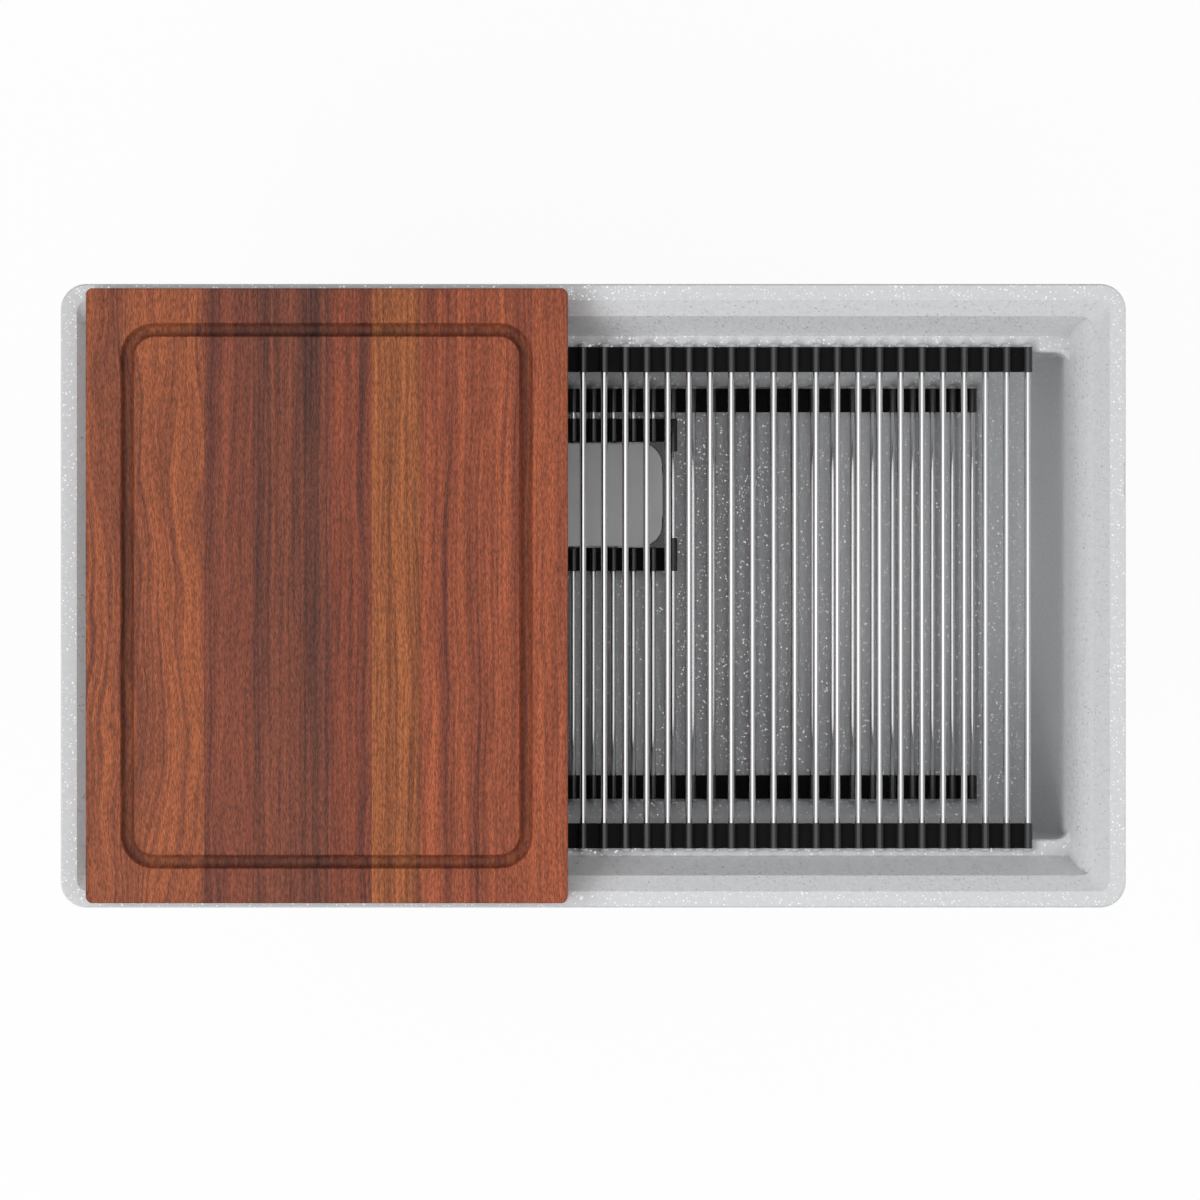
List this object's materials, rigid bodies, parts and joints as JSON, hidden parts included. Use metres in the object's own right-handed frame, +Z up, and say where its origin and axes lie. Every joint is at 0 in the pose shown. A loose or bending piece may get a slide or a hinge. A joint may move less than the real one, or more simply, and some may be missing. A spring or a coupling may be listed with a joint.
{
  "type": "undermount kitchen sink",
  "caption": "Deep rectangular undermount sink with a ledge, sliding cutting board, roll mat of steel rods, rod mat on the floor with a drain cut-out, drain cover and basket strainer.",
  "frame": {"origin": "middle of the rim's top plane, the plane that meets the underside of the counter", "axes": "+X along the sink to the right, +Y to the back wall, +Z up out of the bowl"},
  "size_m": [0.7874, 0.461, 0.4358],
  "materials": {
    "composite": "satin, fine white flecks",
    "insert_brass": "machined",
    "board_wood": "oiled",
    "rod_steel": "polished",
    "strip_silicone": "matt",
    "cover_plastic": "matt",
    "strainer_steel": "brushed",
    "seal_rubber": "matt",
    "ring_board": "pressed fibre",
    "locknut_metal": "as cast",
    "tail_chrome": "polished",
    "washer_plastic": "plain",
    "nut_brass": "machined"
  },
  "bodies": {
    "sink": {"sink_bowl": "composite", "rim_inserts": "insert_brass", "flange_seal": "seal_rubber", "strainer_body": "strainer_steel", "strainer_gasket": "seal_rubber", "friction_ring": "ring_board", "strainer_locknut": "locknut_metal", "tailpiece": "tail_chrome", "tailpiece_washer": "washer_plastic", "coupling_nut": "nut_brass"},
    "board": {"cutting_board": "board_wood"},
    "roll_mat": {"roll_mat_rods": "rod_steel", "roll_mat_strip_back": "strip_silicone", "roll_mat_strip_front": "strip_silicone"},
    "floor_mat": {"floor_mat_rods": "rod_steel", "floor_mat_short_rods_back": "rod_steel", "floor_mat_short_rods_front": "rod_steel", "floor_mat_strip_back": "strip_silicone", "floor_mat_strip_front": "strip_silicone", "floor_mat_drain_frame": "strip_silicone"},
    "cover": {"drain_cover": "cover_plastic"},
    "basket": {"strainer_basket": "strainer_steel", "basket_post": "strainer_steel", "basket_seal": "seal_rubber"}
  },
  "joints": [
    {"name": "board_slide", "type": "slide", "parent": "sink", "child": "board", "axis": [1, 0, 0], "range_m": [-0.003, 0.391]},
    {"name": "roll_mat_slide", "type": "slide", "parent": "sink", "child": "roll_mat", "axis": [1, 0, 0], "range_m": [-0.272, 0.02]},
    {"name": "floor_mat_lift", "type": "slide", "parent": "sink", "child": "floor_mat", "axis": [0, 0, 1], "range_m": [0, 0.15]},
    {"name": "cover_lift", "type": "slide", "parent": "sink", "child": "cover", "axis": [0, 0, 1], "range_m": [0, 0.15]},
    {"name": "basket_lift", "type": "slide", "parent": "sink", "child": "basket", "axis": [0, 0, 1], "range_m": [0, 0.006]}
  ]
}
